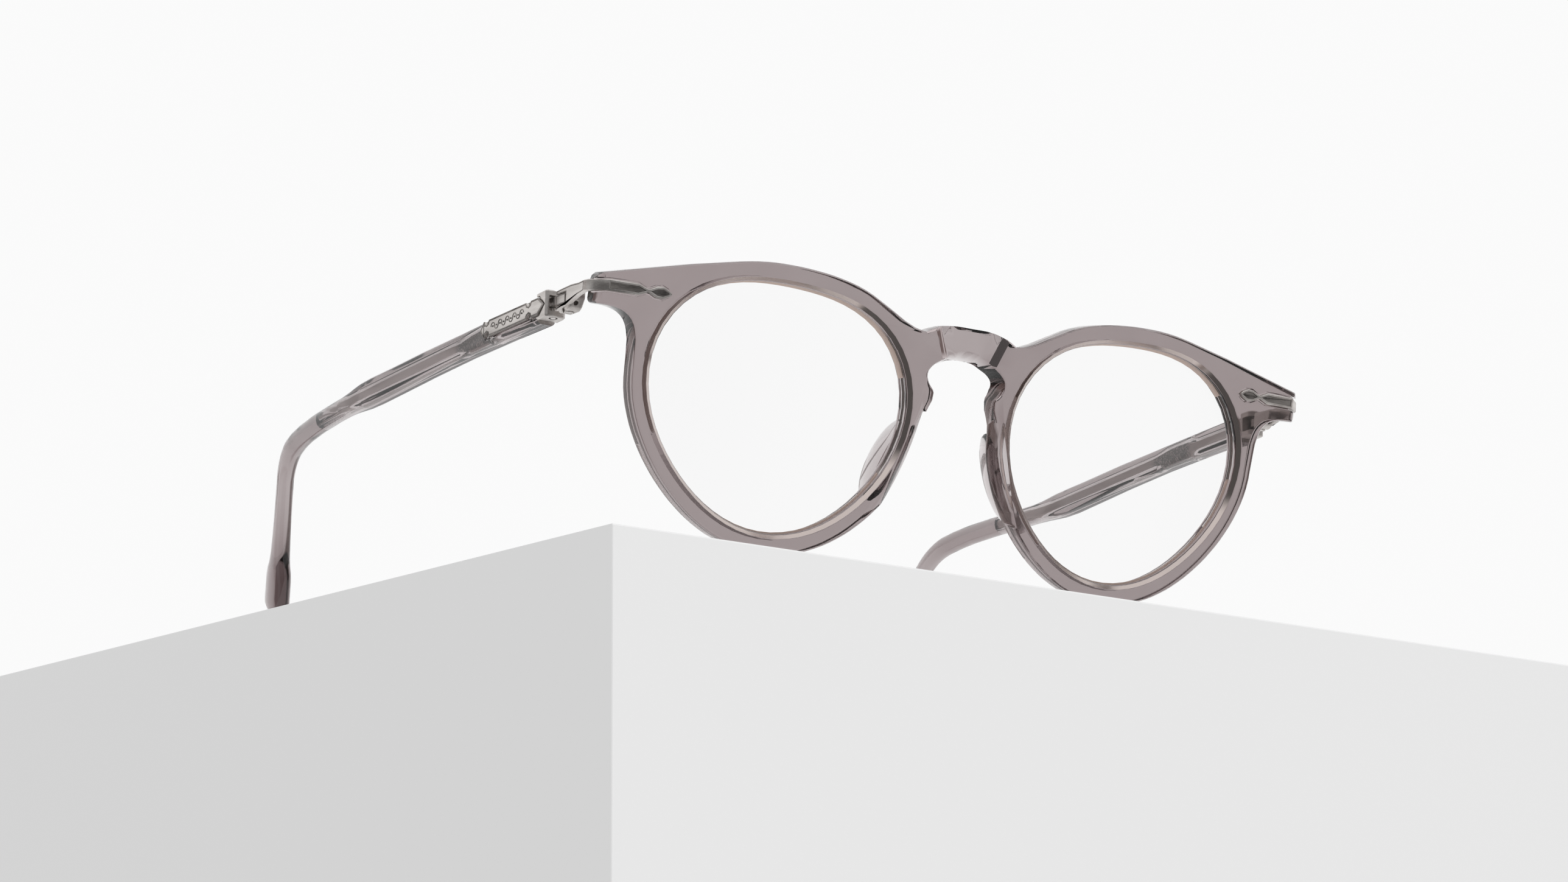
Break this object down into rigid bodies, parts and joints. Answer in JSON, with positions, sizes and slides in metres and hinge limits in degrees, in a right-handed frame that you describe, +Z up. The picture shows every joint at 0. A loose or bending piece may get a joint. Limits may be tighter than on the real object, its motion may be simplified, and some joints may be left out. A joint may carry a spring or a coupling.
{
  "type": "eyeglasses",
  "caption": "Round full-rim eyeglasses: translucent acetate front with keyhole bridge, clear lenses, metal end pieces and folding temples with curved ear tips.",
  "frame": {"origin": "on the surface that the open glasses stand on, below the middle of their outline", "axes": "+Z up, +X across the face towards the side named right, the front faces -Y and the temples run to +Y"},
  "size_m": [0.146, 0.1432, 0.0471],
  "materials": {
    "grey_acetate": "translucent, polished",
    "pale_acetate": "translucent, polished",
    "clear_lens": "clear, polished",
    "antique_silver": "brushed, darkened in its recesses",
    "dark_steel": "satin",
    "core_wire_steel": "satin"
  },
  "bodies": {
    "frame": {"front": "grey_acetate", "lens_right": "clear_lens", "lens_left": "clear_lens", "nose_pad_right": "pale_acetate", "nose_pad_left": "pale_acetate", "lug_pin_1_right": "dark_steel", "lug_pin_1_left": "dark_steel", "lug_pin_2_right": "dark_steel", "lug_pin_2_left": "dark_steel", "end_piece_right": "antique_silver", "end_piece_left": "antique_silver", "arm_panel_right": "antique_silver", "arm_panel_left": "antique_silver", "arm_rivet_right": "dark_steel", "arm_rivet_left": "dark_steel"},
    "temple_arm_right": {"hinge_screw_right": "dark_steel", "temple_head_right": "antique_silver", "temple_right": "grey_acetate", "core_wire_right": "core_wire_steel", "plaque_right": "antique_silver", "plaque_pin_1_right": "dark_steel", "plaque_pin_2_right": "dark_steel", "plaque_pin_3_right": "dark_steel", "plaque_pin_4_right": "dark_steel"},
    "temple_arm_left": {"hinge_screw_left": "dark_steel", "temple_head_left": "antique_silver", "temple_left": "grey_acetate", "core_wire_left": "core_wire_steel", "plaque_left": "antique_silver", "plaque_pin_1_left": "dark_steel", "plaque_pin_2_left": "dark_steel", "plaque_pin_3_left": "dark_steel", "plaque_pin_4_left": "dark_steel"}
  },
  "joints": [
    {"name": "temple_fold_right", "type": "hinge", "parent": "frame", "child": "temple_arm_right", "pos_m": [0.0684, -0.05298, 0.03775], "axis": [0, 0.0586, 0.9983], "range_deg": [0, 88]},
    {"name": "temple_fold_left", "type": "hinge", "parent": "frame", "child": "temple_arm_left", "pos_m": [-0.0684, -0.05298, 0.03775], "axis": [0, -0.0586, -0.9983], "range_deg": [0, 76]}
  ]
}
